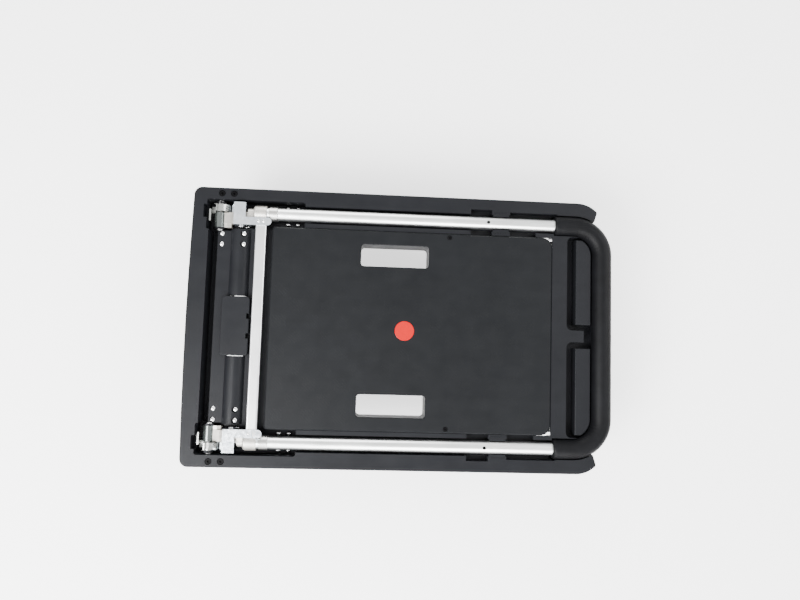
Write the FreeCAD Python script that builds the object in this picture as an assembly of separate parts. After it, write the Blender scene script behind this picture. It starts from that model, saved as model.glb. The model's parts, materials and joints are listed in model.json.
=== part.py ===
import FreeCAD, Part
import os
from math import atan2, cos, pi, radians, sin, sqrt
from FreeCAD import Vector

# Folding platform cart with a moulded deck, a fold-down U handle and four casters.
# Millimetres. Origin on the floor under the middle of the deck.
# +X towards the nose (away from the person pushing), +Y to that person's left, +Z up.
# The handle is shown folded flat on the deck, locked down between its two clips.

os.makedirs("parts", exist_ok=True)

# ---- driving dimensions -------------------------------------------------------
DECK_TOP = 165.0            # top of the rim above the floor
DECK_BOTTOM = 120.0         # lower edge of the skirt
HALF_WIDTH = 240.0          # deck half width
TAIL_X = -372.5             # hinge end of the deck, at the middle of its bowed edge
TAIL_CORNER_X = -369.0      # the same edge where it meets the corner radius
CORNER_R = 14.0
SKIN = 4.0                  # thickness of the moulded top
WALL = 3.0                  # thickness of moulded walls and ribs
SKIRT = 3.5

TUBE_Y = 197.0              # handle tube centre line, each side
TUBE_R = 11.0
TUBE_Z = 159.0              # tube axis when folded
TUBE_WALL = 1.5
BOW_R = 9.4                 # inner bow, a sliding fit in the tubes
BOW_WALL = 1.5
GRIP_R = 17.5
GRIP_X = 355.0              # centre line of the grip's cross part
GRIP_START_X = 267.0        # where tube ends and grip begins
BEND_R = 52.0               # centre-line radius of the handle's two bends

HINGE_X = -326.0            # handle hinge pin
HINGE_Z = 146.0
HINGE_PIN_R = 4.0
PIVOT_X = HINGE_X + 38.5    # release lever pivot, carried by the handle knuckle
PIVOT_Z = HINGE_Z + 9.0
PIVOT_R = 3.0
RUNNING_FIT = 0.05          # radial clearance of pins in moving bores

PANEL_X0, PANEL_X1 = -231.5, 263.0
PANEL_HALF_W = 174.0
PANEL_TOP = 167.0
PANEL_GAP = 0.6
SLOT_X0, SLOT_X1 = -76.5, 42.5
SLOT_Y0, SLOT_Y1 = 111.0, 149.6
SLOT_R = 6.0

RECESS_FLOOR = 132.0        # deep pocket that holds each hinge
CHANNEL_FLOOR = 146.5       # trough under each tube
CHANNEL_Y0, CHANNEL_Y1 = 182.0, 212.0
GRIP_FLOOR = 140.5          # end bay under the grip
GUTTER_FLOOR = 152.0
GUTTER_X0, GUTTER_X1 = -341.5, PANEL_X0 - PANEL_GAP

WHEEL_R = 50.0
WHEEL_W = 30.0
CASTER_TOP = 126.0          # underside of the deck's caster pads
REAR_X, FRONT_X = -262.0, 196.0
CASTER_Y = 168.0
TRAIL = 32.0                # swivel axis to axle

BEND_X = GRIP_X - BEND_R    # centre of each handle bend
BEND_Y = TUBE_Y - BEND_R
SIDES = (("left", 1), ("right", -1))


# ---- helpers ------------------------------------------------------------------
def box(x0, x1, y0, y1, z0, z1):
    return Part.makeBox(x1 - x0, y1 - y0, z1 - z0, Vector(x0, y0, z0))


def cyl_x(y, z, r, x0, x1):
    return Part.makeCylinder(r, x1 - x0, Vector(x0, y, z), Vector(1, 0, 0))


def cyl_y(x, z, r, y0, y1):
    return Part.makeCylinder(r, y1 - y0, Vector(x, y0, z), Vector(0, 1, 0))


def cyl_z(x, y, r, z0, z1):
    return Part.makeCylinder(r, z1 - z0, Vector(x, y, z0), Vector(0, 0, 1))


def outline(start, steps):
    """Closed wire in a plane z = 0: each step is (end,) for a line or (via, end) for an arc."""
    edges = []
    here = Vector(start[0], start[1], 0)
    for step in steps:
        end = Vector(step[-1][0], step[-1][1], 0)
        if len(step) == 2:
            via = Vector(step[0][0], step[0][1], 0)
            edges.append(Part.Arc(here, via, end).toShape())
        else:
            edges.append(Part.makeLine(here, end))
        here = end
    return Part.Wire(edges)


def prism(wire, z0, z1):
    face = Part.Face(wire)
    face.translate(Vector(0, 0, z0))
    return face.extrude(Vector(0, 0, z1 - z0))


def rounded(x0, x1, y0, y1, z0, z1, r):
    """Upright block with its four vertical edges rounded."""
    solid = box(x0, x1, y0, y1, z0, z1)
    upright = [e for e in solid.Edges if abs(e.Vertexes[0].Z - e.Vertexes[1].Z) > 1e-6]
    return solid.makeFillet(r, upright)


def side_plate(points, y0, y1):
    """Plate that lies in the XZ plane between y0 and y1, from a closed list of (x, z)."""
    corners = [Vector(x, y0, z) for x, z in points]
    return Part.Face(Part.makePolygon(corners + corners[:1])).extrude(Vector(0, y1 - y0, 0))


def hexagon(x, y, z, r, height):
    """Upright hexagonal prism standing on z, r is the distance to its corners."""
    corners = [Vector(x + r * cos(radians(a)), y + r * sin(radians(a)), z) for a in range(0, 360, 60)]
    return Part.Face(Part.makePolygon(corners + corners[:1])).extrude(Vector(0, 0, height))


def mirror_y(shape):
    return shape.mirror(Vector(0, 0, 0), Vector(0, 1, 0))


def both(shape):
    return [shape, mirror_y(shape)]


def on_side(shape, side):
    return shape if side > 0 else mirror_y(shape)


def save(name, shapes):
    """Write one node. A list is kept as separate solids."""
    if isinstance(shapes, list):
        shape = Part.makeCompound([solid for s in shapes for solid in s.Solids])
    else:
        shape = shapes
    assert shape.isValid(), name
    shape.exportStep("parts/%s.step" % name)
    print("%-24s solids %d  volume %.0f" % (name, len(shape.Solids), shape.Volume))


def dome_rivet(x, y, z, head_r, head_h, shank_r, length):
    """Rivet with a low domed head sitting on z and its shank going down."""
    ball_r = (head_r ** 2 + head_h ** 2) / (2 * head_h)
    ball = Part.makeSphere(ball_r, Vector(x, y, z + head_h - ball_r))
    head = ball.common(cyl_z(x, y, head_r, z, z + head_h))
    return head.fuse(cyl_z(x, y, shank_r, z - length, z)).removeSplitter()


def socket_screw(x, y, z, head_r, head_h, shank_r, length):
    """Screw with a cylindrical hex-socket head sitting on z."""
    head = cyl_z(x, y, head_r, z, z + head_h)
    rim = [e for e in head.Edges if e.Curve.TypeId == "Part::GeomCircle" and e.Vertexes[0].Z > z]
    head = head.makeFillet(0.25 * head_h, rim)
    socket = hexagon(x, y, z + 0.4 * head_h, 0.5 * head_r, head_h)
    return head.cut(socket).fuse(cyl_z(x, y, shank_r, z - length, z)).removeSplitter()


# ---- deck: moulded frame --------------------------------------------------------
EAR_R = 50.0                # outer curve of each ear
LOBE_R = 4.0                # its rounded tip
EAR_NOTCH_X, EAR_NOTCH_Y = 341.0, 208.5
NOSE_R = 62.0               # the nose edge runs under the grip at this bend radius
EAR_X0 = 309.5              # where the straight side ends and the ear begins
OPEN_Y = PANEL_HALF_W + PANEL_GAP
OPEN_X1 = PANEL_X1 + PANEL_GAP
PAD_X0, PAD_X1 = 307.5, 335.0       # raised pads between the grip and the deck
PAD_Y0, PAD_Y1 = 20.8, 173.0
BAY_X0 = 290.5                      # start of the nose bay
BRIDGE_HALF_W = 10.3
RIB_BOTTOM = CASTER_TOP
RIB_TOP = DECK_TOP - SKIN
CLIP_X0, CLIP_X1 = 154.0, 186.4     # tongues that grip the folded tube
PIN_POCKET_X, PIN_POCKET_Y = -300.0, 166.0      # corner of the pocket for the pin's inner end
LONG_RIBS = (0.0, 55.0, 104.5, 155.0, 167.0)
CROSS_RIBS = (-345.0, -310.0, REAR_X, -214.0, -150.0, -79.0, -17.0, 45.0, 96.0, 148.0, FRONT_X,
              244.0, 288.0)
RIDGE_X, RIDGE_R = -287.6, 21.0     # half-round ridge along the gutter
COVER_X0, COVER_X1 = -313.0, -265.0
COVER_HALF_W = 51.0
COVER_TOP = 162.5
RIM_BOLTS = [(x, s * 229.5) for x in (-321.0, -300.5) for s in (1, -1)]
GUTTER_RIVETS = [(x, y, z) for x, z in ((-320.5, GUTTER_FLOOR), (-281.5, 158.2)) for y in (161.0, 142.5)]
BRACKET_RIVETS = [(-209.5, 213.6), (-191.5, 213.6), (-209.5, 184.4), (-191.5, 184.4), (-281.5, 177.0)]
LEG_X0, LEG_X1 = -324.4, -270.0     # inner leg of the hinge bracket under the gutter floor
PANEL_SCREW_X, PANEL_SCREW_Y = 78.5, 167.0
BADGE_X, BADGE_R = 3.0, 17.0
CASTER_HOLES = [(dx, dy) for dx in (-40.0, 40.0) for dy in (-30.0, 30.0)]


def deck_outline():
    """Plan of the deck: bowed tail, straight sides, an ear at each nose corner."""
    bow = TAIL_CORNER_X - TAIL_X
    tail_r = (HALF_WIDTH ** 2 + bow ** 2) / (2 * bow)
    tail_cx = TAIL_X + tail_r
    corner_y = HALF_WIDTH - CORNER_R
    corner_x = tail_cx - sqrt((tail_r - CORNER_R) ** 2 - corner_y ** 2)
    slope = atan2(corner_y, tail_cx - corner_x)
    tail_end = (corner_x - CORNER_R * cos(slope), corner_y + CORNER_R * sin(slope))
    corner_via = (corner_x - CORNER_R * sin(pi / 4), corner_y + CORNER_R * sin(pi / 4))
    side_start = (corner_x, HALF_WIDTH)
    side_end = (EAR_X0, HALF_WIDTH)

    def around(centre, r, degrees):
        return (centre[0] + r * cos(radians(degrees)), centre[1] + r * sin(radians(degrees)))

    ear_centre = (EAR_X0, HALF_WIDTH - EAR_R)
    ear_via, ear_end = around(ear_centre, EAR_R, 68), around(ear_centre, EAR_R, 46)
    lobe_centre = around(ear_centre, EAR_R - LOBE_R, 46)
    lobe_via, lobe_end = around(lobe_centre, LOBE_R, 15), around(lobe_centre, LOBE_R, -15)
    notch = (EAR_NOTCH_X, EAR_NOTCH_Y)
    bend = (BEND_X, BEND_Y)
    foot, nose_via, nose = (around(bend, NOSE_R, a) for a in (60, 30, 0))

    def low(p):
        return (p[0], -p[1])

    steps = [(corner_via, side_start), (side_end,), (ear_via, ear_end), (lobe_via, lobe_end),
             (notch,), (foot,), (nose_via, nose), (low(nose),), (low(nose_via), low(foot)),
             (low(notch),), (low(lobe_end),), (low(lobe_via), low(ear_end)),
             (low(ear_via), low(side_end)), (low(side_start),), (low(corner_via), low(tail_end)),
             ((TAIL_X, 0.0), tail_end)]
    return outline(tail_end, steps)


def slot_block(grow, z0, z1):
    """Body of one hand slot, enlarged all round by grow."""
    return rounded(SLOT_X0 - grow, SLOT_X1 + grow, SLOT_Y0 - grow, SLOT_Y1 + grow,
                   z0, z1, SLOT_R + grow)


def bend_sector(r, z0, z1):
    """Quarter disc about the +Y handle bend."""
    disc = cyl_z(BEND_X, BEND_Y, r, z0, z1)
    return disc.common(box(BEND_X, BEND_X + r, BEND_Y, BEND_Y + r, z0, z1))


def grip_channel(margin, z0, z1):
    """Space in plan that the bent grip needs, on the +Y half."""
    reach = GRIP_R + margin
    leg = box(GRIP_START_X - margin, BEND_X, TUBE_Y - reach, TUBE_Y + reach, z0, z1)
    bend = bend_sector(BEND_R + reach, z0, z1).cut(bend_sector(BEND_R - reach, z0, z1))
    cross = box(GRIP_X - reach, GRIP_X + reach, 0, BEND_Y, z0, z1)
    return leg.fuse([bend, cross])


def pad_shape(z0, z1):
    """Raised pad beside the grip; its outer end follows the inside of the bend."""
    outer = box(PAD_X0, PAD_X1, PAD_Y0, BEND_Y, z0, z1)
    end = cyl_z(BEND_X, BEND_Y, PAD_X1 - BEND_X, z0, z1)
    end = end.common(box(PAD_X0, PAD_X1, BEND_Y, PAD_Y1, z0, z1))
    pad = outer.fuse(end).removeSplitter()
    rim = [e for e in pad.Edges if min(v.Z for v in e.Vertexes) > z1 - 0.01]
    return pad.makeFillet(1.5, rim)


def troughs():
    """Walls and floors that stand below the top skin, +Y side; their pockets are cut later."""
    hinge = box(-354.5, -172.0, 168.0, 222.0, RECESS_FLOOR - WALL, RIB_TOP)
    pin_end = box(-354.5, PIN_POCKET_X + WALL, PIN_POCKET_Y - WALL, 172.0,
                  RECESS_FLOOR - WALL, RIB_TOP)
    channel = box(-176.0, 275.0, 179.0, 215.0, CHANNEL_FLOOR - WALL, RIB_TOP)
    clip_zone = box(113.0, 234.0, 171.0, 224.0, CHANNEL_FLOOR - WALL, RIB_TOP)
    outer_ledge = box(230.0, 275.0, 212.0, 220.5, CHANNEL_FLOOR - WALL, RIB_TOP)
    side_ledge = box(-176.0, 230.0, 171.5, 180.0, RIB_TOP - WALL, RIB_TOP)
    nose_ledge = box(258.0, 270.0, 0, 150.0, RIB_TOP - WALL, RIB_TOP)
    bay = box(BAY_X0 - WALL, 363.5, 0, BEND_Y + 5, GRIP_FLOOR - WALL, RIB_TOP)
    bay_corner = grip_channel(WALL, GRIP_FLOOR - WALL, RIB_TOP)
    bay_mid = box(BAY_X0 - WALL, BEND_X + BEND_R - GRIP_R, BEND_Y, 183.0, GRIP_FLOOR - WALL, RIB_TOP)
    gutter = box(GUTTER_X0 - WALL, GUTTER_X1 + WALL, 0, 176.0, GUTTER_FLOOR - WALL, RIB_TOP)
    groove = box(GUTTER_X0 - WALL, -324.6, 0, 169.0, 122.0, RIB_TOP)
    return [hinge, pin_end, channel, clip_zone, outer_ledge, side_ledge, nose_ledge, bay, bay_corner, bay_mid,
            gutter, groove]


def ribs():
    """Underside ribs of the +Y half: lengthwise, crosswise and round the hand slot."""
    made = []
    for y in LONG_RIBS:
        y0 = 0.0 if y == 0.0 else y - WALL / 2
        made.append(box(-345.0, 300.0, y0, y + WALL / 2, RIB_BOTTOM, RIB_TOP))
    for x in CROSS_RIBS:
        over_bay = 230.0 < x < 260.0
        outer_end = 168.5 if over_bay else HALF_WIDTH - 1.0
        made.append(box(x - WALL / 2, x + WALL / 2, 0, outer_end, RIB_BOTTOM, RIB_TOP))
    made.append(box(-340.0, 300.0, 224.0 - WALL, 224.0, RIB_BOTTOM, RIB_TOP))
    made.append(slot_block(WALL, DECK_BOTTOM, RIB_TOP))
    for x in (REAR_X, FRONT_X):
        made.append(rounded(x - 52, x + 52, CASTER_Y - 44, CASTER_Y + 44,
                            CASTER_TOP, CASTER_TOP + 4.0, 8.0))
    return made


def pockets():
    """Everything cut from the top of the +Y half."""
    top = DECK_TOP + 3.0
    hinge = rounded(-346.0, -176.5, 171.0, 219.0, RECESS_FLOOR, top, 4.0)
    pin_end = rounded(-346.0, PIN_POCKET_X, PIN_POCKET_Y, 180.0, RECESS_FLOOR, top, 3.0)
    notch = box(-351.5, -340.0, 186.4, 209.4, GUTTER_FLOOR - 4, top)
    channel = box(-180.0, GRIP_START_X, CHANNEL_Y0, CHANNEL_Y1, CHANNEL_FLOOR, top)
    first = box(116.0, CLIP_X0, 173.6, 220.4, CHANNEL_FLOOR + 2, top)
    second_out = box(CLIP_X1, 272.0, CHANNEL_Y1 - 2, 217.3, CHANNEL_FLOOR + 2, top)
    second_in = box(CLIP_X1, 233.5, 173.6, CHANNEL_Y0 + 2, CHANNEL_FLOOR + 2, top)
    opening = box(GUTTER_X1 - 1, OPEN_X1, 0, OPEN_Y, RIB_TOP, top)
    grip = grip_channel(1.0, GRIP_FLOOR, top)
    bay = rounded(BAY_X0, 337.0, BRIDGE_HALF_W, 177.5, GRIP_FLOOR, top, 10.0)
    bay_end = box(321.5, 338.0, 0, BRIDGE_HALF_W + 12, GRIP_FLOOR, top)
    gutter = box(GUTTER_X0, GUTTER_X1, 0, 173.0, GUTTER_FLOOR, top)
    groove = box(GUTTER_X0, -327.6, 0, 172.0, 125.0, top)
    return [hinge, pin_end, notch, channel, first, second_out, second_in, opening, grip, bay, bay_end,
            gutter, groove]


def gutter_ridge():
    """Half-round ridge along the gutter, hollow below, interrupted by the middle cover."""
    centre_z = GUTTER_FLOOR - 12.0
    reach = 168.0
    x0, x1 = RIDGE_X - RIDGE_R - 1.0, RIDGE_X + RIDGE_R + 1.0
    solid = cyl_y(RIDGE_X, centre_z, RIDGE_R, COVER_HALF_W + 1.0, reach)
    hollow = cyl_y(RIDGE_X, centre_z, RIDGE_R - WALL, 0, reach - WALL)
    above = box(x0, x1, 0, reach, GUTTER_FLOOR - 1.0, DECK_TOP)
    return solid.common(above), hollow


def clip_tongues():
    """Pair of tongues per side that just clear the tube and hold it sideways."""
    made = []
    clear = TUBE_R + 0.5
    for y0, y1 in ((CHANNEL_Y0 - 4, TUBE_Y - clear), (TUBE_Y + clear, CHANNEL_Y1 + 4)):
        made.append(box(CLIP_X0 + 2, CLIP_X1 - 2, y0, y1, CHANNEL_FLOOR - 1, DECK_TOP))
        for i in range(6):
            x = CLIP_X0 + 5.0 + 4.4 * i
            rib_y = y0 + 1.0 if y0 < TUBE_Y else y1 - 1.0
            made.append(cyl_z(x, rib_y, 1.1, DECK_TOP - 6, DECK_TOP + 0.8))
    return made


def deck_frame():
    body = prism(deck_outline(), DECK_BOTTOM, DECK_TOP)
    rim = [e for e in body.Edges if min(v.Z for v in e.Vertexes) > DECK_TOP - 0.01]
    body = body.makeFillet(3.0, [e for e in rim if abs(e.CenterOfMass.y) > 221 or e.CenterOfMass.x < 0])
    inner = deck_outline().makeOffset2D(-SKIRT, 0)
    inner_solid = prism(inner, DECK_BOTTOM - 1, RIB_TOP)
    body = body.cut(inner_solid)

    inside = prism(inner, DECK_BOTTOM, RIB_TOP + 0.5)
    added = []
    for shape in troughs() + ribs():
        added += both(shape)
    structure = added[0].fuse(added[1:]).common(inside)
    body = body.fuse(structure)

    cuts = []
    for shape in pockets() + [slot_block(0, DECK_BOTTOM - 1, DECK_TOP + 1)]:
        cuts += both(shape)
    for x, y in RIM_BOLTS:
        cuts.append(cyl_z(x, y, 5.8, DECK_TOP - 6.0, DECK_TOP + 1))
    body = body.cut(cuts[0].fuse(cuts[1:]))

    ridge, hollow = gutter_ridge()
    pads = both(pad_shape(GRIP_FLOOR - 1, DECK_TOP - 3.0))
    bosses = [cyl_z(x, s * y, 4.8, RECESS_FLOOR + 5.0, z) for x, y, z in GUTTER_RIVETS
              for s in (1, -1)]
    plinths = [cyl_z(x, y, 9.0, DECK_TOP - 24.0, DECK_TOP - 6.0) for x, y in RIM_BOLTS]
    tongues = [t for shape in clip_tongues() for t in both(shape)]
    body = body.fuse(both(ridge) + pads + bosses + plinths + tongues)
    over_hinge = box(RIDGE_X - 40.0, RIDGE_X + 40.0, 130.0, 176.0, 100.0, GUTTER_FLOOR)
    body = body.cut(both(hollow.cut(over_hinge)))

    cuts = [box(COVER_X0 - 0.8, COVER_X1 + 0.8, -COVER_HALF_W - 0.8, COVER_HALF_W + 0.8,
                GUTTER_FLOOR, DECK_TOP)]
    for x, y, z in GUTTER_RIVETS:
        cuts += both(cyl_z(x, y, 5.6, z, DECK_TOP))
        cuts += both(cyl_z(x, y, 2.6, RECESS_FLOOR, z + 1))
    for x, y in BRACKET_RIVETS:
        cuts += both(cyl_z(x, y, 2.6, RECESS_FLOOR - WALL - 1, RECESS_FLOOR + 1))
    cuts += both(box(LEG_X0, LEG_X1 + 0.4, 131.0, 172.0, RECESS_FLOOR - 0.4, RECESS_FLOOR + 5.0))
    for x, y in RIM_BOLTS:
        cuts.append(cyl_z(x, y, 2.5, DECK_TOP - 25.0, DECK_TOP))
    cuts += both(cyl_z(PANEL_SCREW_X, PANEL_SCREW_Y, 1.8, 140.0, DECK_TOP))
    body = body.cut(cuts[0].fuse(cuts[1:]))
    for x in (REAR_X, FRONT_X):
        for dx, dy in CASTER_HOLES:
            holes = both(cyl_z(x + dx, CASTER_Y + dy, 4.1, CASTER_TOP - 1, CASTER_TOP + 5.0))
            body = body.cut(holes[0].fuse(holes[1]))
    return body


# ---- deck: panel, badge, cover and their screws --------------------------------------
def deck_panel():
    blank = box(PANEL_X0, PANEL_X1, -PANEL_HALF_W, PANEL_HALF_W, RIB_TOP, PANEL_TOP)
    upright = [e for e in blank.Edges if abs(e.Vertexes[0].Z - e.Vertexes[1].Z) > 1]
    blank = blank.makeFillet(5.0, [e for e in upright if e.Vertexes[0].X < 0])
    upright = [e for e in blank.Edges if abs(e.Vertexes[0].Z - e.Vertexes[1].Z) > 1
               and e.Vertexes[0].X > 250]
    blank = blank.makeFillet(18.0, upright)
    rim = [e for e in blank.Edges if min(v.Z for v in e.Vertexes) > PANEL_TOP - 0.01]
    blank = blank.makeChamfer(2.2, rim)
    cuts = []
    for slot in both(slot_block(0, RIB_TOP - 1, PANEL_TOP + 1)):
        cuts.append(slot)
    cuts.append(cyl_z(BADGE_X, 0, BADGE_R + 0.2, PANEL_TOP - 2.0, PANEL_TOP + 1))
    for s in (1, -1):
        cuts.append(cyl_z(PANEL_SCREW_X, s * PANEL_SCREW_Y, 4.4, PANEL_TOP - 3.0, PANEL_TOP + 1))
        cuts.append(cyl_z(PANEL_SCREW_X, s * PANEL_SCREW_Y, 2.1, RIB_TOP - 1, PANEL_TOP))
    cuts.append(box(116.0, CLIP_X0, 173.0, 176.0, RIB_TOP - 1, PANEL_TOP + 1))
    body = blank.cut(cuts[0].fuse(cuts[1:])).removeSplitter()

    def on_slot_edge(e):
        mid = e.CenterOfMass
        inside = SLOT_X0 - 1 < mid.x < SLOT_X1 + 1 and SLOT_Y0 - 1 < abs(mid.y) < SLOT_Y1 + 1
        return inside and min(v.Z for v in e.Vertexes) > PANEL_TOP - 0.01

    return body.makeChamfer(1.0, [e for e in body.Edges if on_slot_edge(e)])


def centre_badge():
    disc = cyl_z(BADGE_X, 0, BADGE_R, PANEL_TOP - 2.0, PANEL_TOP - 0.1)
    rim = [e for e in disc.Edges if e.Curve.TypeId == "Part::GeomCircle" and e.Vertexes[0].Z > 166]
    return disc.makeFillet(0.6, rim)


def gutter_cover():
    lid = rounded(COVER_X0, COVER_X1, -COVER_HALF_W, COVER_HALF_W, GUTTER_FLOOR, COVER_TOP, 6.0)
    rim = [e for e in lid.Edges if min(v.Z for v in e.Vertexes) > COVER_TOP - 0.1]
    lid = lid.makeFillet(1.6, rim)
    hollow = rounded(COVER_X0 + WALL, COVER_X1 - WALL, -COVER_HALF_W + WALL, COVER_HALF_W - WALL,
                     GUTTER_FLOOR - 1, COVER_TOP - WALL, 4.0)
    notches = [box(COVER_X1 - 5.0, COVER_X1 + 1, y - 4.5, y + 4.5, GUTTER_FLOOR, DECK_TOP)
               for y in (-17, 17)]
    return lid.cut(hollow.fuse(notches))


def deck_parts():
    save("deck_frame", deck_frame())
    save("deck_panel", deck_panel())
    save("centre_badge", centre_badge())
    save("gutter_cover", gutter_cover())
    save("panel_screws", [socket_screw(PANEL_SCREW_X, s * PANEL_SCREW_Y, PANEL_TOP - 3.0,
                                       4.2, 2.6, 1.8, 18.0) for s in (1, -1)])
    save("rim_bolts", [socket_screw(x, y, DECK_TOP - 6.0, 5.4, 4.6, 2.5, 19.0) for x, y in RIM_BOLTS])


# ---- hinge, fixed half (modelled on the +Y side, mirrored for the other) ----------
BASE_T = 2.5                                # bracket sheet
BASE_TOP = RECESS_FLOOR + BASE_T
EAR_IN = (168.6, 171.1)                     # bracket ear beside the gutter
EAR_OUT = (214.0, 216.5)
SECTOR_Y = (199.0, 210.6)                   # fixed lock sector
SECTOR_R = 19.0


def polar(r, degrees):
    """Point at a radius and angle about the hinge pin; angle 0 is +X, 90 is up."""
    return (HINGE_X + r * cos(radians(degrees)), HINGE_Z + r * sin(radians(degrees)))


def hinge_bracket():
    base = rounded(-345.0, -178.0, 172.0, 218.4, RECESS_FLOOR, BASE_TOP, 4.0)
    leg = box(LEG_X0 + 0.4, LEG_X1, 132.0, 173.0, RECESS_FLOOR, BASE_TOP)
    step = rounded(-345.0, PIN_POCKET_X - 1.0, 167.2, 176.0, RECESS_FLOOR, BASE_TOP, 2.0)
    window = rounded(-262.0, -226.0, 184.0, 208.0, RECESS_FLOOR - 1, BASE_TOP + 1, 5.0)
    body = base.fuse([leg, step]).cut(window)
    for y0, y1 in (EAR_IN, EAR_OUT):
        cheek = box(HINGE_X - 12.0, HINGE_X + 12.0, y0, y1, RECESS_FLOOR + 1, HINGE_Z)
        body = body.fuse(cheek.fuse(cyl_y(HINGE_X, HINGE_Z, 12.0, y0, y1)))
    for y0, y1 in (EAR_IN, EAR_OUT):
        body = body.cut(cyl_y(HINGE_X, HINGE_Z, HINGE_PIN_R, y0 - 1, y1 + 1))
    for x, y in BRACKET_RIVETS + [(x, y) for x, y, z in GUTTER_RIVETS]:
        body = body.cut(cyl_z(x, y, 2.6, RECESS_FLOOR - 1, BASE_TOP + 1))
    return body.removeSplitter()


def bracket_rivets():
    made = [dome_rivet(x, y, BASE_TOP, 4.9, 3.2, 2.5, 5.4) for x, y in BRACKET_RIVETS]
    made += [dome_rivet(x, y, z, 4.6, 2.8, 2.5, z - RECESS_FLOOR) for x, y, z in GUTTER_RIVETS]
    return made


def lock_sector():
    """Fixed sector round the hinge pin; its upper notch takes the lever nose when upright.

    Its foot runs back under the pin to an upright stop tab behind the knuckle.
    """
    y0, y1 = SECTOR_Y
    disc = cyl_y(HINGE_X, HINGE_Z, SECTOR_R, y0, y1)
    wedge = side_plate([polar(0, 0), polar(40, -14), polar(40, 0), polar(50, 45), polar(40, 104)],
                       y0, y1)
    hub = cyl_y(HINGE_X, HINGE_Z, 9.0, y0, y1)
    foot = box(HINGE_X - 6.0, HINGE_X + 13.0, y0, y1, BASE_TOP, HINGE_Z)
    strip = box(-343.5, HINGE_X, y0, y1, BASE_TOP, BASE_TOP + BASE_T)
    tab = rounded(-343.5, -340.6, 182.0, 203.0, BASE_TOP, 157.0, 1.0)
    body = disc.common(wedge).fuse([hub, foot, strip, tab])
    notch = side_plate([polar(14.0, 78), polar(24, 77), polar(24, 98), polar(14.0, 98)], y0 - 1, y1 + 1)
    bore = cyl_y(HINGE_X, HINGE_Z, HINGE_PIN_R, y0 - 1, y1 + 1)
    return body.cut(notch.fuse(bore)).removeSplitter()


def hex_y(x, z, across, y0, y1):
    r = across / sqrt(3)
    points = [(x + r * cos(radians(a)), z + r * sin(radians(a))) for a in range(0, 360, 60)]
    return side_plate(points, y0, y1)


def hinge_pin():
    shank = cyl_y(HINGE_X, HINGE_Z, HINGE_PIN_R, EAR_IN[0] - 2.4, 217.0)
    head = cyl_y(HINGE_X, HINGE_Z, 6.5, 216.5, 218.8)
    return shank.fuse(head).removeSplitter()


def hinge_spacer():
    """Sleeve on the pin between the knuckle and the outer ear."""
    sleeve = cyl_y(HINGE_X, HINGE_Z, 7.0, SECTOR_Y[1] + 0.1, EAR_OUT[0])
    return sleeve.cut(cyl_y(HINGE_X, HINGE_Z, HINGE_PIN_R, 200, 220))


def retaining_clip():
    """Push-on ring that keeps the pin in, beside the inner ear."""
    ring = cyl_y(HINGE_X, HINGE_Z, 6.4, EAR_IN[0] - 1.6, EAR_IN[0] - 0.1)
    return ring.cut(cyl_y(HINGE_X, HINGE_Z, HINGE_PIN_R, EAR_IN[0] - 3, EAR_IN[0]))


# ---- handle ---------------------------------------------------------------------
ARM_Y = (178.0, 197.6)                      # knuckle arm, clear of the release lever
LUG_Y0 = 171.7                              # its eye reaches in to the bracket ear
SPIGOT_X0 = 136.0                           # inner bow starts here inside each tube
TUBE_SCREW_X, TUBE_SCREW_R = 146.5, 1.4
KNUCKLE_END_X = -243.0                      # the tube starts here, inside the boss
COLLAR = (-239.0, -223.5)
SPRING_R0, SPRING_R1 = 4.4, 6.2


def handle_path():
    """Centre line of the bow from one tube to the other."""
    z = TUBE_Z

    def arc(side):
        mid = Vector(BEND_X + BEND_R * sin(pi / 4), side * (BEND_Y + BEND_R * sin(pi / 4)), z)
        ends = [Vector(BEND_X, side * TUBE_Y, z), Vector(GRIP_X, side * BEND_Y, z)]
        if side < 0:
            ends.reverse()
        return Part.Arc(ends[0], mid, ends[1]).toShape()

    cross = Part.makeLine(Vector(GRIP_X, BEND_Y, z), Vector(GRIP_X, -BEND_Y, z))
    return arc(1), cross, arc(-1)


def bent_rod(start_x, r):
    """Round bar along the handle's U, starting at start_x on both sides."""
    arc_a, cross, arc_b = handle_path()
    leg_a = Part.makeLine(Vector(start_x, TUBE_Y, TUBE_Z), Vector(BEND_X, TUBE_Y, TUBE_Z))
    leg_b = Part.makeLine(Vector(BEND_X, -TUBE_Y, TUBE_Z), Vector(start_x, -TUBE_Y, TUBE_Z))
    path = Part.Wire([leg_a, arc_a, cross, arc_b, leg_b])
    ring = Part.makeCircle(r, Vector(start_x, TUBE_Y, TUBE_Z), Vector(1, 0, 0))
    return path.makePipeShell([Part.Wire(ring)], True, False)


def handle_grip():
    sleeve = bent_rod(GRIP_START_X, GRIP_R)
    ends = [e for e in sleeve.Edges if e.Curve.TypeId == "Part::GeomCircle"
            and abs(e.CenterOfMass.x - GRIP_START_X) < 0.1]
    sleeve = sleeve.makeFillet(3.0, ends)
    return sleeve.cut(bent_rod(GRIP_START_X - 1.0, BOW_R))


def tube_screw_hole():
    return cyl_z(TUBE_SCREW_X, TUBE_Y, TUBE_SCREW_R + 0.1, TUBE_Z, TUBE_Z + TUBE_R + 1.0)


def handle_bow():
    bow = bent_rod(SPIGOT_X0, BOW_R).cut(bent_rod(SPIGOT_X0 - 1.0, BOW_R - BOW_WALL))
    return bow.cut(both(tube_screw_hole()))


def handle_tube():
    tube = cyl_x(TUBE_Y, TUBE_Z, TUBE_R, KNUCKLE_END_X, GRIP_START_X)
    bore = cyl_x(TUBE_Y, TUBE_Z, TUBE_R - TUBE_WALL, KNUCKLE_END_X - 1, GRIP_START_X + 1)
    return tube.cut([bore, tube_screw_hole()])


def tube_screw(side):
    return socket_screw(TUBE_SCREW_X, side * TUBE_Y, TUBE_Z + TUBE_R, 2.9, 1.2, TUBE_SCREW_R, 4.5)


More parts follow.
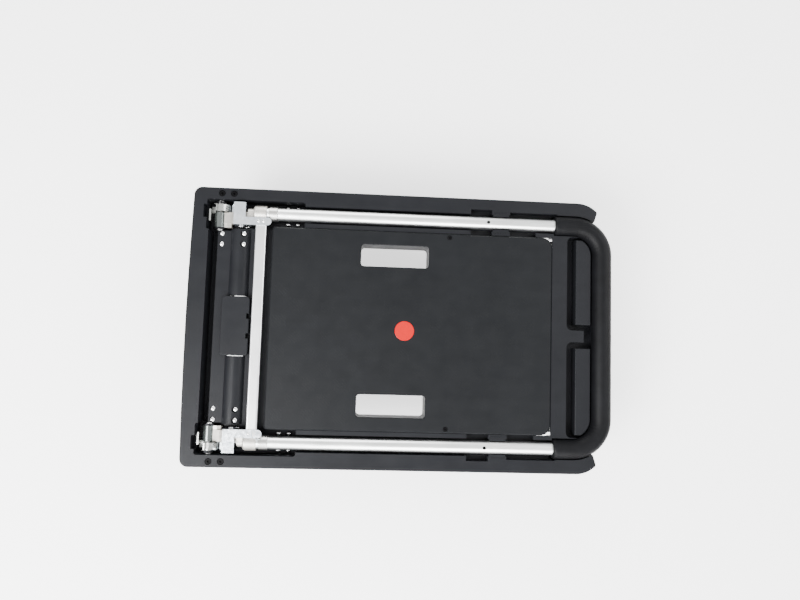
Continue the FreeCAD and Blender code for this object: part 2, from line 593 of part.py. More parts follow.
def at(u, w):
    """Point from the hinge pin: u along the folded handle, w up."""
    return (HINGE_X + u, HINGE_Z + w)


def knuckle():
    """Cast link from the hinge pin to the tube, with a plug inside the tube."""
    y0, y1 = ARM_Y
    eye = cyl_y(HINGE_X, HINGE_Z, 10.0, LUG_Y0, y1)
    lug = side_plate([at(2, -9.7), at(20, -7.5), at(22, 0), at(20.5, 6.5), at(14, 7.5), at(3, 5.5)],
                     LUG_Y0, y0 + 1)
    arm = side_plate([at(2, -9.7), at(30, -6.0), at(60, 0.0), at(64, 4), at(64, 21.5), at(36, 20.5),
                      at(20, 12.0), at(6, 6.0)], y0, y1)
    neck = cyl_x(TUBE_Y, TUBE_Z, 8.2, HINGE_X + 51.0, HINGE_X + 66.0)
    boss = cyl_x(TUBE_Y, TUBE_Z, 13.8, HINGE_X + 60.5, HINGE_X + 86.5)
    rims = [e for e in boss.Edges if e.Curve.TypeId == "Part::GeomCircle"]
    boss = boss.makeFillet(4.5, rims)
    plug = cyl_x(TUBE_Y, TUBE_Z, TUBE_R - TUBE_WALL, HINGE_X + 80.0, HINGE_X + 112.0)
    body = eye.fuse([lug, arm, neck, boss, plug])
    bore = cyl_y(HINGE_X, HINGE_Z, HINGE_PIN_R + RUNNING_FIT, LUG_Y0 - 1, y1 + 1)
    pivot = cyl_y(PIVOT_X, PIVOT_Z, PIVOT_R, y0 - 1, y1 + 1)
    seat = cyl_x(TUBE_Y, TUBE_Z, 40.0, KNUCKLE_END_X, COLLAR[0] + 0.5)
    seat = seat.cut(cyl_x(TUBE_Y, TUBE_Z, TUBE_R - TUBE_WALL, KNUCKLE_END_X - 1, 0))
    return body.cut(bore.fuse([pivot, seat])).removeSplitter()


def tube_collar():
    ring = cyl_x(TUBE_Y, TUBE_Z, 12.6, *COLLAR)
    rims = [e for e in ring.Edges if e.Curve.TypeId == "Part::GeomCircle"]
    ring = ring.makeFillet(0.9, rims)
    return ring.cut(cyl_x(TUBE_Y, TUBE_Z, TUBE_R, COLLAR[0] - 1, COLLAR[1] + 1))


def pivot_pin():
    shank = cyl_y(PIVOT_X, PIVOT_Z, PIVOT_R, 173.2, 215.2)
    caps = [cyl_y(PIVOT_X, PIVOT_Z, 4.8, 172.6, 174.3), cyl_y(PIVOT_X, PIVOT_Z, 4.8, 213.7, 215.4)]
    return shank.fuse(caps).removeSplitter()


def lever_spring():
    """Envelope of the torsion spring coiled round the pivot pin beside the knuckle."""
    coil = cyl_y(PIVOT_X, PIVOT_Z, SPRING_R1, 199.0, 208.5)
    return coil.cut(cyl_y(PIVOT_X, PIVOT_Z, SPRING_R0, 198, 210))


# ---- release lever and bar ---------------------------------------------------------
LEVER_T = 2.5
LEVER_TOP = PIVOT_Z + 18.0                  # outer face of the saddle
LEVER_IN = (174.6, 177.1)
LEVER_OUT = (211.0, 213.5)
BAR_X0, BAR_X1 = -260.5, -241.8
BAR_T = 9.0
BAR_HALF = 182.0
BAR_RIVET_Y = 181.3
BAR_RIVET_X = (-255.5, -246.8)


def release_lever():
    """Pressed saddle over the knuckle, with the lock nose below and a flange to the bar."""
    under = LEVER_TOP - LEVER_T
    top = rounded(-298.0, -278.0, LEVER_IN[0], LEVER_OUT[1], under, LEVER_TOP, 1.2)
    flange = box(-282.0, -240.0, LEVER_IN[0], 188.0, under, LEVER_TOP)
    tip = cyl_z(-240.0, BAR_RIVET_Y, 6.7, under, LEVER_TOP)
    inner = side_plate([at(25.5, 3), at(46, 2), at(62, 18), at(62, 25), at(28, 25)], *LEVER_IN)
    outer = side_plate([at(20.2, -1), at(20.2, 5), at(28, 24.6), at(48, 24.6), at(46, 2), at(38, -1)],
                       *LEVER_OUT)
    nose = side_plate([at(20.2, -1), at(20.2, 5), at(26, 7), at(27.5, 2), at(26, -1)], 199.4, 212.0)
    body = top.fuse([flange, tip, inner, outer, nose])
    pivot = cyl_y(PIVOT_X, PIVOT_Z, PIVOT_R + RUNNING_FIT, 170, 220)
    holes = [cyl_z(x, BAR_RIVET_Y, 1.5, under - 1, LEVER_TOP + 1) for x in BAR_RIVET_X]
    return body.cut(pivot.fuse(holes)).removeSplitter()


def release_bar():
    """Flat oval tube across the cart, joined to both levers."""
    z1 = LEVER_TOP - LEVER_T
    z0 = z1 - BAR_T
    solid = box(BAR_X0, BAR_X1, -BAR_HALF, BAR_HALF, z0, z1)
    long_edges = [e for e in solid.Edges if abs(e.Vertexes[0].Y - e.Vertexes[1].Y) > 10]
    solid = solid.makeFillet(3.0, long_edges)
    inner = box(BAR_X0 + 1.5, BAR_X1 - 1.5, -BAR_HALF - 1, BAR_HALF + 1, z0 + 1.5, z1 - 1.5)
    long_edges = [e for e in inner.Edges if abs(e.Vertexes[0].Y - e.Vertexes[1].Y) > 10]
    inner = inner.makeFillet(1.6, long_edges)
    body = solid.cut(inner)
    for side in (1, -1):
        for x in BAR_RIVET_X:
            body = body.cut(cyl_z(x, side * BAR_RIVET_Y, 1.5, z0 + 4, z1 + 1))
    return body


def bar_rivets():
    return [dome_rivet(x, BAR_RIVET_Y * s, LEVER_TOP, 2.6, 1.2, 1.5, 6.0)
            for x in BAR_RIVET_X for s in (1, -1)]


def hinge_parts():
    for name, side in SIDES:
        save("hinge_bracket_" + name, on_side(hinge_bracket(), side))
        save("bracket_rivets_" + name, [on_side(r, side) for r in bracket_rivets()])
        save("lock_sector_" + name, on_side(lock_sector(), side))
        save("hinge_pin_" + name, on_side(hinge_pin(), side))
    save("hinge_spacers", both(hinge_spacer()))
    save("pin_clips", both(retaining_clip()))


def handle_parts():
    for name, side in SIDES:
        save("handle_tube_" + name, on_side(handle_tube(), side))
        save("knuckle_" + name, on_side(knuckle(), side))
        save("tube_collar_" + name, on_side(tube_collar(), side))
        save("lever_pivot_" + name, on_side(pivot_pin(), side))
        save("lever_spring_" + name, on_side(lever_spring(), side))
        save("release_lever_" + name, on_side(release_lever(), side))
    save("handle_bow", handle_bow())
    save("handle_grip", handle_grip())
    save("tube_screws", [tube_screw(s) for s in (1, -1)])
    save("release_bar", release_bar())
    save("bar_rivets", bar_rivets())


# ---- casters (modelled about their own mounting centre, then moved into place) --------
PLATE_T = 3.0
PLATE_HALF_X, PLATE_HALF_Y = 50.0, 42.0
BALL_R = 3.0
RACE_R = 22.0
BALL_Z = 117.0
BALL_COUNT = 14
KINGPIN_R = 5.0
CROWN_Z0, CROWN_Z1 = 111.0, 116.4
LEG_IN, LEG_OUT = 18.5, 21.5
AXLE_R = 5.0
RIM_R = 40.0
HUB_R = 12.0
HUB_HALF_W = 17.0
SPOKES = 6
SCREW_ACROSS = 13.0                 # caster screw head, across flats
SCREW_HEAD_H = 4.6


def mounting_plate():
    top = CASTER_TOP
    plate = rounded(-PLATE_HALF_X, PLATE_HALF_X, -PLATE_HALF_Y, PLATE_HALF_Y, top - PLATE_T, top, 8.0)
    for dx, dy in CASTER_HOLES:
        plate = plate.cut(cyl_z(dx, dy, 4.1, top - PLATE_T - 1, top + 1))
    return plate


def race_groove(r):
    return Part.makeTorus(RACE_R, r, Vector(0, 0, BALL_Z))


def swivel_plate():
    race = cyl_z(0, 0, 31.0, BALL_Z + 0.4, CASTER_TOP - PLATE_T)
    body = mounting_plate().fuse(race).cut(race_groove(BALL_R))
    return body.cut(cyl_z(0, 0, KINGPIN_R, 100, CASTER_TOP + 1)).removeSplitter()


def kingpin():
    shank = cyl_z(0, 0, KINGPIN_R, CROWN_Z0 - 4.0, CASTER_TOP)
    head = cyl_z(0, 0, 9.0, CROWN_Z0 - 4.0, CROWN_Z0 - 0.4)
    rim = [e for e in head.Edges if e.Curve.TypeId == "Part::GeomCircle" and e.Vertexes[0].Z < 108]
    return shank.fuse(head.makeFillet(1.5, rim)).removeSplitter()


def bearing_balls():
    made = []
    for i in range(BALL_COUNT):
        a = 2 * pi * i / BALL_COUNT
        made.append(Part.makeSphere(BALL_R, Vector(RACE_R * cos(a), RACE_R * sin(a), BALL_Z)))
    return made


def fork_leg(points, axle_x):
    leg = side_plate(points, LEG_IN, LEG_OUT).fuse(cyl_y(axle_x, WHEEL_R, 13.0, LEG_IN, LEG_OUT))
    return leg.cut(cyl_y(axle_x, WHEEL_R, AXLE_R, LEG_IN - 1, LEG_OUT + 1)).removeSplitter()


def swivel_fork():
    points = [(-31, CROWN_Z1), (25, CROWN_Z1), (25, 106), (6, 84), (-TRAIL + 12.8, 48),
              (-TRAIL - 12.8, 52), (-38, 96)]
    legs = both(fork_leg(points, -TRAIL))
    crown = rounded(-31.0, 25.0, -LEG_OUT, LEG_OUT, CROWN_Z0, CROWN_Z1, 2.0)
    disc = cyl_z(0, 0, 29.0, CROWN_Z0, CROWN_Z1)
    body = crown.fuse([disc] + legs).cut(race_groove(BALL_R + 0.4))
    return body.cut(cyl_z(0, 0, KINGPIN_R + RUNNING_FIT, 100, 130)).removeSplitter()


def fixed_fork():
    points = [(-44, CASTER_TOP - PLATE_T), (44, CASTER_TOP - PLATE_T), (34, 108), (12.8, 48),
              (-12.8, 48), (-34, 108)]
    legs = both(fork_leg(points, 0.0))
    return mounting_plate().fuse(legs).removeSplitter()


def wheel_hub(axle_x):
    """Spoked plastic wheel centre with a through bore."""
    def ring(r0, r1, half):
        solid = cyl_y(axle_x, WHEEL_R, r1, -half, half)
        return solid.cut(cyl_y(axle_x, WHEEL_R, r0, -half - 1, half + 1))

    web = ring(HUB_R - 1, 34.0, 2.5)
    body = ring(33.0, RIM_R, 13.5).fuse([web, ring(AXLE_R + 1, HUB_R, HUB_HALF_W)])
    for i in range(SPOKES):
        spoke = box(axle_x + HUB_R - 1.5, axle_x + 34.0, -10.5, 10.5, WHEEL_R - 1.6, WHEEL_R + 1.6)
        spoke.rotate(Vector(axle_x, 0, WHEEL_R), Vector(0, 1, 0), 360.0 * i / SPOKES + 30.0)
        body = body.fuse(spoke)
    inner = ring(AXLE_R + RUNNING_FIT, AXLE_R + 1.5, HUB_HALF_W)
    return body.fuse(inner).removeSplitter()


def tyre(axle_x):
    half = WHEEL_W / 2
    solid = cyl_y(axle_x, WHEEL_R, WHEEL_R, -half, half)
    rims = [e for e in solid.Edges if e.Curve.TypeId == "Part::GeomCircle"]
    solid = solid.makeFillet(4.5, rims)
    return solid.cut(cyl_y(axle_x, WHEEL_R, RIM_R, -half - 1, half + 1))


def axle(axle_x):
    shank = cyl_y(axle_x, WHEEL_R, AXLE_R, -LEG_OUT - 8.0, LEG_OUT)
    head = cyl_y(axle_x, WHEEL_R, 8.4, LEG_OUT, LEG_OUT + 4.5)
    rim = [e for e in head.Edges if e.Curve.TypeId == "Part::GeomCircle"
           and e.Vertexes[0].Y > LEG_OUT + 1]
    return shank.fuse(head.makeFillet(1.6, rim)).removeSplitter()


def axle_nut(axle_x):
    nut = hex_y(axle_x, WHEEL_R, 15.0, -LEG_OUT - 6.5, -LEG_OUT)
    return nut.cut(cyl_y(axle_x, WHEEL_R, AXLE_R, -40, 0))


def plate_screw(dx, dy):
    """Hexagon screw driven up through a mounting plate."""
    under = CASTER_TOP - PLATE_T
    head = hexagon(dx, dy, under - SCREW_HEAD_H, SCREW_ACROSS / sqrt(3), SCREW_HEAD_H)
    return head.fuse(cyl_z(dx, dy, 4.0, under, CASTER_TOP + 4.5)).removeSplitter()


def placed(shape, x, side):
    """Copy of a caster piece moved to its corner; the pair mirrors across the cart."""
    moved = shape.copy()
    moved.translate(Vector(x, CASTER_Y, 0))
    return on_side(moved, side)


def caster_parts():
    for name, side in SIDES:
        save("rear_plate_" + name, placed(swivel_plate(), REAR_X, side))
        save("kingpin_" + name, placed(kingpin(), REAR_X, side))
        save("rear_fork_" + name, placed(swivel_fork(), REAR_X, side))
        save("front_fork_" + name, placed(fixed_fork(), FRONT_X, side))
        for end, x, axle_x in (("rear", REAR_X, -TRAIL), ("front", FRONT_X, 0.0)):
            save("%s_wheel_%s" % (end, name), placed(wheel_hub(axle_x), x, side))
            save("%s_tyre_%s" % (end, name), placed(tyre(axle_x), x, side))
            save("%s_axle_%s" % (end, name), placed(axle(axle_x), x, side))
        save("rear_axle_nut_" + name, placed(axle_nut(-TRAIL), REAR_X, side))
    save("front_axle_nuts", [placed(axle_nut(0.0), FRONT_X, s) for n, s in SIDES])
    save("bearing_balls", [placed(ball, REAR_X, s) for n, s in SIDES for ball in bearing_balls()])
    save("caster_screws", [placed(plate_screw(dx, dy), x, s) for n, s in SIDES
                           for x in (REAR_X, FRONT_X) for dx, dy in CASTER_HOLES])


deck_parts()
hinge_parts()
handle_parts()
caster_parts()
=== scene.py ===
import json
import math

import bpy
from mathutils import Matrix, Vector, noise


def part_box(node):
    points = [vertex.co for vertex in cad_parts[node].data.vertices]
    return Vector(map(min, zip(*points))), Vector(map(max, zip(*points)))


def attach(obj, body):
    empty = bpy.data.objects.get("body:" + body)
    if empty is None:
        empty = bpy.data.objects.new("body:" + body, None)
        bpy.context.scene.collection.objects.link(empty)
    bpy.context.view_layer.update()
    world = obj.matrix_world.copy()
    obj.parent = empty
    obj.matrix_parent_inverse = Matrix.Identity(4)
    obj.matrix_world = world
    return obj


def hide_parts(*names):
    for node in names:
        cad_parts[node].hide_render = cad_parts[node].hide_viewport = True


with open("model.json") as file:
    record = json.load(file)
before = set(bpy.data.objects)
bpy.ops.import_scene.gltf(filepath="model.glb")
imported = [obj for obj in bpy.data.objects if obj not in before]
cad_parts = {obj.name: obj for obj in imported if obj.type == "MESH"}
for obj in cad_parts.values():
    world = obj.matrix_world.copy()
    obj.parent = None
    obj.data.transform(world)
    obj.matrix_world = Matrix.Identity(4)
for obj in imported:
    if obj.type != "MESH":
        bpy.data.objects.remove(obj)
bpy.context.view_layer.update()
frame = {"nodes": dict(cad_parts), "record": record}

# Looks of the folding platform cart. Metres, in the frame's own axes: +X towards the nose,
# +Y to the left of the person pushing, +Z up, floor at z = 0.

MM = 0.001
NODES = frame["nodes"]
SIDES = ("left", "right")
ENDS = ("rear", "front")

# Lever springs
WIRE_R = 0.6 * MM
WIRE_SEGMENTS = 10
SPRING_TURNS = 7
POINTS_PER_TURN = 28

# Foam grip
GRIP_STEP = 1.6 * MM            # spacing of the rings along the grip
GRIP_SEGMENTS = 56
GRIP_BEND = 52.0 * MM           # centre line radius of the two bends
GRIP_END_R = 3.0 * MM           # rounding of the foam's two ends
GRIP_BORE_R = 11.2 * MM         # inner radius of the foam's end faces
SKIN_INSET = 0.12 * MM          # keeps the swell within 0.04 mm of the CAD grip's radius
SWELL = 0.16 * MM
CREASE_DEPTH = 0.42 * MM
CREASE_RATE = 46                # radians of the crease wave per radian of bend

# Tread on the panel
CELL, TILE = 27.0 * MM, 24.0 * MM
RIB_PITCH = 5.66 * MM
RIB_HALF, RIB_HEIGHT = 0.75 * MM, 0.14 * MM
SHORTEST_RIB = 3.0 * MM
TREAD_MARGIN = 7.0 * MM
BADGE_CLEARANCE, SLOT_CLEARANCE, SCREW_CLEARANCE = 4.0 * MM, 6.0 * MM, 14.0 * MM

# Tyres: half of the outline, as millimetres out from the middle plane and in from the tread
TYRE_OUTLINE = [(0.0, 0.25), (0.4, 0.25), (0.7, 0.0), (3.0, 0.03), (6.0, 0.16), (9.0, 0.45),
                (10.6, 0.80), (12.4, 1.7), (13.7, 3.0), (14.5, 4.4), (14.55, 5.6), (14.1, 6.0),
                (14.1, 7.2), (14.5, 7.6), (14.5, 9.2), (13.9, 9.8)]
TYRE_OUTLINE_HALF = 15.0 * MM   # half width that the outline was drawn for
TYRE_SEAT_HALF, TYRE_SEAT_DEPTH = 13.4 * MM, 9.95 * MM
TYRE_SEGMENTS = 96
SHARP_EDGE = math.radians(40)

# Materials
PLASTIC_GRAIN = 0.35 * MM
EYE_R = 10.1 * MM               # machined round eye of each cast knuckle
EYE_BLEND = 0.6 * MM
# Colour of the machined eye: real smoother steel, darkened well below bare steel as painted shade
EYE_COLOR_WITH_PAINTED_SHADE, EYE_ROUGHNESS = (0.15, 0.165, 0.16), 0.2


def set_range(node, from_low, from_high, to_low, to_high):
    """Set the four ends of a Map Range node."""
    for key, value in (("From Min", from_low), ("From Max", from_high),
                       ("To Min", to_low), ("To Max", to_high)):
        node.inputs[key].default_value = value


def centre(node):
    low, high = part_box(node)
    return (Vector(low) + Vector(high)) / 2


# ---- material building blocks ---------------------------------------------------
class Shader:
    """A Principled material with short helpers for the node tree behind it."""

    def __init__(self, name, color, rough, metal=0.0, specular=0.5):
        self.mat = bpy.data.materials.new(name)
        self.mat.use_nodes = True
        self.tree = self.mat.node_tree
        self.bsdf = self.tree.nodes["Principled BSDF"]
        self.color = color
        self.bsdf.inputs["Base Color"].default_value = (*color, 1.0)
        self.bsdf.inputs["Roughness"].default_value = rough
        self.bsdf.inputs["Metallic"].default_value = metal
        self.bsdf.inputs["Specular IOR Level"].default_value = specular
        self.coord = self.node("ShaderNodeTexCoord").outputs["Object"]

    def node(self, kind, **inputs):
        made = self.tree.nodes.new(kind)
        for key, value in inputs.items():
            self.feed(made.inputs[key], value)
        return made

    def feed(self, socket, value):
        """Link a socket to another node's output, or set it to a constant."""
        if isinstance(value, bpy.types.NodeSocket):
            self.tree.links.new(value, socket)
        else:
            socket.default_value = value

    def stretched(self, scale):
        """Object coordinates scaled per axis, for grain that runs one way."""
        return self.node("ShaderNodeMapping", Vector=self.coord, Scale=scale).outputs["Vector"]

    def noise(self, scale, detail=3.0, vector=None):
        made = self.node("ShaderNodeTexNoise", Vector=vector or self.coord, Scale=scale,
                         Detail=detail, Roughness=0.55)
        return made.outputs["Fac"]

    def spots(self, scale):
        made = self.node("ShaderNodeTexVoronoi", Vector=self.coord, Scale=scale)
        return made.outputs["Distance"]

    def weighted(self, a, a_share, b, b_share):
        """Weighted sum of two patterns."""
        scaled = self.node("ShaderNodeMath")
        scaled.operation = "MULTIPLY"
        self.feed(scaled.inputs[0], b)
        self.feed(scaled.inputs[1], b_share)
        total = self.node("ShaderNodeMath")
        total.operation = "MULTIPLY_ADD"
        for socket, value in zip(total.inputs, (a, a_share, scaled.outputs[0])):
            self.feed(socket, value)
        return total.outputs[0]

    def spread(self, pattern, low, high):
        """Map the part of a noise pattern where most of its values lie to a range."""
        made = self.node("ShaderNodeMapRange", Value=pattern)
        set_range(made, 0.3, 0.7, low, high)
        return made.outputs["Result"]

    def near_axis(self, axis, radius, blend):
        """1 within a radius of the line through axis along Y, fading to 0 outside it."""
        offset = self.node("ShaderNodeVectorMath")
        offset.operation = "SUBTRACT"
        across = self.node("ShaderNodeVectorMath")
        across.operation = "MULTIPLY"
        distance = self.node("ShaderNodeVectorMath")
        distance.operation = "LENGTH"
        self.feed(offset.inputs[0], self.coord)
        self.feed(offset.inputs[1], axis)
        self.feed(across.inputs[0], offset.outputs["Vector"])
        self.feed(across.inputs[1], (1.0, 0.0, 1.0))
        self.feed(distance.inputs[0], across.outputs["Vector"])
        inside = self.node("ShaderNodeMapRange", Value=distance.outputs["Value"])
        set_range(inside, radius, radius + blend, 1.0, 0.0)
        return inside.outputs["Result"]

    def mix_colors(self, fac, a, b):
        made = self.node("ShaderNodeMix")
        made.data_type = "RGBA"
        self.feed(made.inputs[0], fac)
        for socket, value in ((made.inputs[6], a), (made.inputs[7], b)):
            self.feed(socket, (*value, 1.0) if isinstance(value, tuple) else value)
        return made.outputs[2]

    def tint(self, pattern, low, high):
        """Base colour that varies between two multiples of the plain colour."""
        dark = tuple(c * low for c in self.color)
        light = tuple(min(1.0, c * high) for c in self.color)
        tinted = self.mix_colors(self.spread(pattern, 0.0, 1.0), dark, light)
        self.feed(self.bsdf.inputs["Base Color"], tinted)
        return tinted

    def roughness(self, pattern, low, high):
        varied = self.spread(pattern, low, high)
        self.feed(self.bsdf.inputs["Roughness"], varied)
        return varied

    def bump(self, height, strength, distance, below=None):
        made = self.node("ShaderNodeBump", Height=height, Strength=strength, Distance=distance)
        if below is not None:
            self.feed(made.inputs["Normal"], below)
        self.feed(self.bsdf.inputs["Normal"], made.outputs["Normal"])
        return made.outputs["Normal"]


def moulded_plastic(name, color, rough):
    """Dark moulded plastic with a fine grain and soft flow marks."""
    s = Shader(name, color, rough, specular=0.12)
    cloud = s.noise(9.0, 4.0)
    flow = s.noise(60.0, 3.0, vector=s.stretched((0.25, 1.0, 1.0)))
    s.tint(s.weighted(cloud, 0.6, flow, 0.4), 0.86, 1.16)
    s.roughness(s.noise(35.0, 5.0), rough - 0.05, rough + 0.07)
    soft = s.bump(s.noise(140.0, 2.0), 0.12, 0.5 * MM)
    s.bump(s.spots(1.0 / PLASTIC_GRAIN), 0.25, 0.05 * MM, soft)
    return s.mat


def brushed_metal(name, color, rough, along=(0.02, 1.0, 1.0), wear=0.10):
    """Satin metal with drawing lines along one axis."""
    s = Shader(name, color, rough, metal=1.0)
    lines = s.noise(2600.0, 2.0, vector=s.stretched(along))
    cloud = s.noise(14.0, 4.0)
    s.tint(cloud, 1.0 - wear, 1.0 + 0.5 * wear)
    s.roughness(s.weighted(lines, 0.5, cloud, 0.5), rough - 0.06, rough + 0.08)
    s.bump(lines, 0.10, 0.03 * MM)
    return s.mat


def plated_metal(name, color, rough):
    """Zinc plate, coated or polished steel, with faint handling marks."""
    s = Shader(name, color, rough, metal=1.0)
    s.tint(s.noise(55.0, 4.0), 0.82, 1.08)
    s.roughness(s.noise(180.0, 4.0), rough - 0.07, rough + 0.10)
    s.bump(s.noise(420.0, 3.0), 0.10, 0.08 * MM)
    return s.mat


def black_oxide(name, color, rough):
    """Oil-blackened screws: nearly black with a thin waxy gloss."""
    s = Shader(name, color, rough, specular=0.05)
    s.tint(s.noise(160.0, 4.0), 0.6, 1.8)
    s.roughness(s.noise(240.0, 3.0), rough - 0.10, rough + 0.10)
    s.bump(s.noise(600.0, 3.0), 0.15, 0.05 * MM)
    return s.mat


def cast_metal(name, color, rough):
    """Cast knuckle: grainy skin, machined smoother round the hinge pin, where the eye's darker
    colour is partly painted shade.
    """
    s = Shader(name, color, rough, metal=0.9)
    eye = s.near_axis(centre("hinge_pin_left"), EYE_R, EYE_BLEND)
    skin = s.tint(s.noise(70.0, 5.0), 0.78, 1.06)
    skin_rough = s.roughness(s.noise(220.0, 4.0), rough - 0.05, rough + 0.12)
    # Painted shade: the machined eye round the hinge pin gets a much darker colour than the cast
    # skin
    s.feed(s.bsdf.inputs["Base Color"], s.mix_colors(eye, skin, EYE_COLOR_WITH_PAINTED_SHADE))
    blend = s.node("ShaderNodeMix", Factor=eye, A=skin_rough, B=EYE_ROUGHNESS)
    s.feed(s.bsdf.inputs["Roughness"], blend.outputs["Result"])
    coarse = s.bump(s.noise(260.0, 4.0), 0.30, 0.25 * MM)
    s.bump(s.noise(1500.0, 3.0), 0.25, 0.06 * MM, coarse)
    return s.mat


def foam(name, color, rough):
    """Foam rubber: matt skin with fine pores and a soft unevenness."""
    s = Shader(name, color, rough, specular=0.10)
    s.tint(s.noise(38.0, 5.0), 0.70, 1.40)
    soft = s.bump(s.noise(120.0, 3.0), 0.25, 0.5 * MM)
    s.bump(s.spots(1350.0), 0.45, 0.16 * MM, soft)
    return s.mat


def rubber(name, color, rough):
    """Matt black rubber with a fine moulded grain."""
    s = Shader(name, color, rough, specular=0.16)
    s.tint(s.noise(30.0, 5.0), 0.75, 1.30)
    s.roughness(s.noise(90.0, 4.0), rough - 0.08, rough + 0.06)
    s.bump(s.noise(900.0, 4.0), 0.35, 0.10 * MM)
    return s.mat


def glossy_red(name, color, rough):
    s = Shader(name, color, rough, specular=0.25)
    s.tint(s.noise(120.0, 3.0), 0.95, 1.04)
    s.roughness(s.noise(300.0, 4.0), rough - 0.04, rough + 0.08)
    s.bump(s.noise(700.0, 2.0), 0.08, 0.04 * MM)
    return s.mat


# Each slot's finish, plain colour and roughness, and how the finish differs from its usual form
SLOTS = {
    "deck_plastic": (moulded_plastic, (0.0068, 0.0072, 0.0086), 0.40, {}),
    "panel_plastic": (moulded_plastic, (0.0052, 0.0057, 0.0066), 0.44, {}),
    "wheel_plastic": (moulded_plastic, (0.060, 0.062, 0.068), 0.45, {}),
    "badge_red": (glossy_red, (0.36, 0.0022, 0.0014), 0.32, {}),
    "black_screws": (black_oxide, (0.0025, 0.0025, 0.0028), 0.42, {}),
    "coated_steel": (plated_metal, (0.018, 0.018, 0.020), 0.38, {}),
    "zinc_sheet": (plated_metal, (0.46, 0.47, 0.45), 0.26, {}),
    "release_steel": (plated_metal, (0.84, 0.89, 0.97), 0.22, {}),
    "rivet_steel": (plated_metal, (0.86, 0.86, 0.86), 0.16, {}),
    "pin_steel": (plated_metal, (0.62, 0.62, 0.62), 0.26, {}),
    "spring_steel": (plated_metal, (0.42, 0.42, 0.43), 0.30, {}),
    "caster_steel": (plated_metal, (0.60, 0.61, 0.62), 0.30, {}),
    "bow_steel": (plated_metal, (0.03, 0.03, 0.03), 0.40, {}),
    "cast_aluminium": (cast_metal, (0.56, 0.54, 0.50), 0.40, {}),
    "tube_aluminium": (brushed_metal, (0.95, 0.97, 0.96), 0.31, {"wear": 0.06}),
    "collar_aluminium": (brushed_metal, (0.58, 0.58, 0.56), 0.30, {"along": (1.0, 0.05, 0.05)}),
    "bar_aluminium": (brushed_metal, (0.97, 0.975, 0.98), 0.30,
                      {"along": (1.0, 0.02, 1.0), "wear": 0.04}),
    "tyre_rubber": (rubber, (0.009, 0.009, 0.0105), 0.58, {}),
    "grip_foam": (foam, (0.0026, 0.0027, 0.0033), 0.50, {}),
}


def make_materials():
    return {slot: finish(slot, color, rough, **options)
            for slot, (finish, color, rough, options) in SLOTS.items()}


def dress(materials):
    """Give every CAD node the material of its slot in the record."""
    for part in frame["record"]["subparts"]:
        node = NODES[part["node"]]
        node.data.materials.clear()
        node.data.materials.append(materials[part["material_slot"]])


# ---- mesh building ----------------------------------------------------------------
def make_piece(name, verts, faces, material, body, replaced=()):
    """A smooth mesh object in the row frame that rides on a body and stands for some CAD nodes."""
    mesh = bpy.data.meshes.new(name)
    mesh.from_pydata([tuple(v) for v in verts], [], faces)
    mesh.validate()
    mesh.update()
    for polygon in mesh.polygons:
        polygon.use_smooth = True
    mesh.materials.append(material)
    piece = bpy.data.objects.new(name, mesh)
    bpy.context.scene.collection.objects.link(piece)
    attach(piece, body)
    if replaced:
        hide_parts(*replaced)
    return piece


def stitch(rings, segments):
    """Quads between successive rings of equal vertex count."""
    faces = []
    for i in range(rings - 1):
        here, ahead = i * segments, (i + 1) * segments
        for k in range(segments):
            n = (k + 1) % segments
            faces.append((here + k, here + n, ahead + n, ahead + k))
    return faces


def sweep(points, radius_at, segments):
    """Round body along points; radius_at(i, out) gives the radius of ring i towards out."""
    verts = []
    side = None
    for i, here in enumerate(points):
        ahead = points[min(i + 1, len(points) - 1)] - points[max(i - 1, 0)]
        ahead.normalize()
        if side is None:
            side = ahead.orthogonal().normalized()
        side = (side - ahead * side.dot(ahead)).normalized()
        up = ahead.cross(side)
        for k in range(segments):
            angle = 2 * math.pi * k / segments
            out = side * math.cos(angle) + up * math.sin(angle)
            verts.append(here + out * radius_at(i, out))
    return verts, stitch(len(points), segments)


# ---- lever springs ------------------------------------------------------------------
def make_spring(side, material):
    """Torsion spring of round wire on the release lever's pivot, with two straight legs."""
    node = "lever_spring_" + side
    low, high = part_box(node)
    axis = centre(node)
    coil = (high.z - low.z) / 2 - WIRE_R
    y0, y1 = low.y + 1.6 * WIRE_R, high.y - 1.6 * WIRE_R
    steps = SPRING_TURNS * POINTS_PER_TURN
    points = []
    for i in range(steps + 1):
        t = i / steps
        a = 2 * math.pi * SPRING_TURNS * t
        points.append(Vector((axis.x + coil * math.sin(a), y0 + (y1 - y0) * t,
                              axis.z - coil * math.cos(a))))
    leg_in = [points[0] + Vector((-d * MM, 0, 0.25 * d * MM)) for d in (6.0, 4.0, 2.0)]
    leg_out = [points[-1] + Vector((d * MM, 0, 0.2 * d * MM)) for d in (2.0, 4.0, 6.5)]
    path = leg_in + points + leg_out
    verts, faces = sweep(path, lambda i, out: WIRE_R, WIRE_SEGMENTS)
    faces.append(tuple(reversed(range(WIRE_SEGMENTS))))
    faces.append(tuple(range(len(verts) - WIRE_SEGMENTS, len(verts))))
    make_piece("torsion_spring_" + side, verts, faces, material, "handle", [node])


# ---- foam grip ------------------------------------------------------------------------
def grip_line(low, corner, cross_x, tube_y):
    """Centre line of the grip from one tube end to the other, spaced evenly."""
    leg = int((corner.x - low.x) / GRIP_STEP)
    arc = int(GRIP_BEND * math.pi / 2 / GRIP_STEP)
    half = int(corner.y / GRIP_STEP)
    points = [Vector((low.x + (corner.x - low.x) * i / leg, tube_y, corner.z)) for i in range(leg)]
    for i in range(arc):
        a = math.pi / 2 * (1 - i / arc)
        points.append(corner + Vector((GRIP_BEND * math.cos(a), GRIP_BEND * math.sin(a), 0)))
    points += [Vector((cross_x, corner.y * (1 - i / half), corner.z)) for i in range(half)]
    middle = Vector((cross_x, 0, corner.z))
    other = [Vector((q.x, -q.y, q.z)) for q in reversed(points)]
    return points + [middle] + other


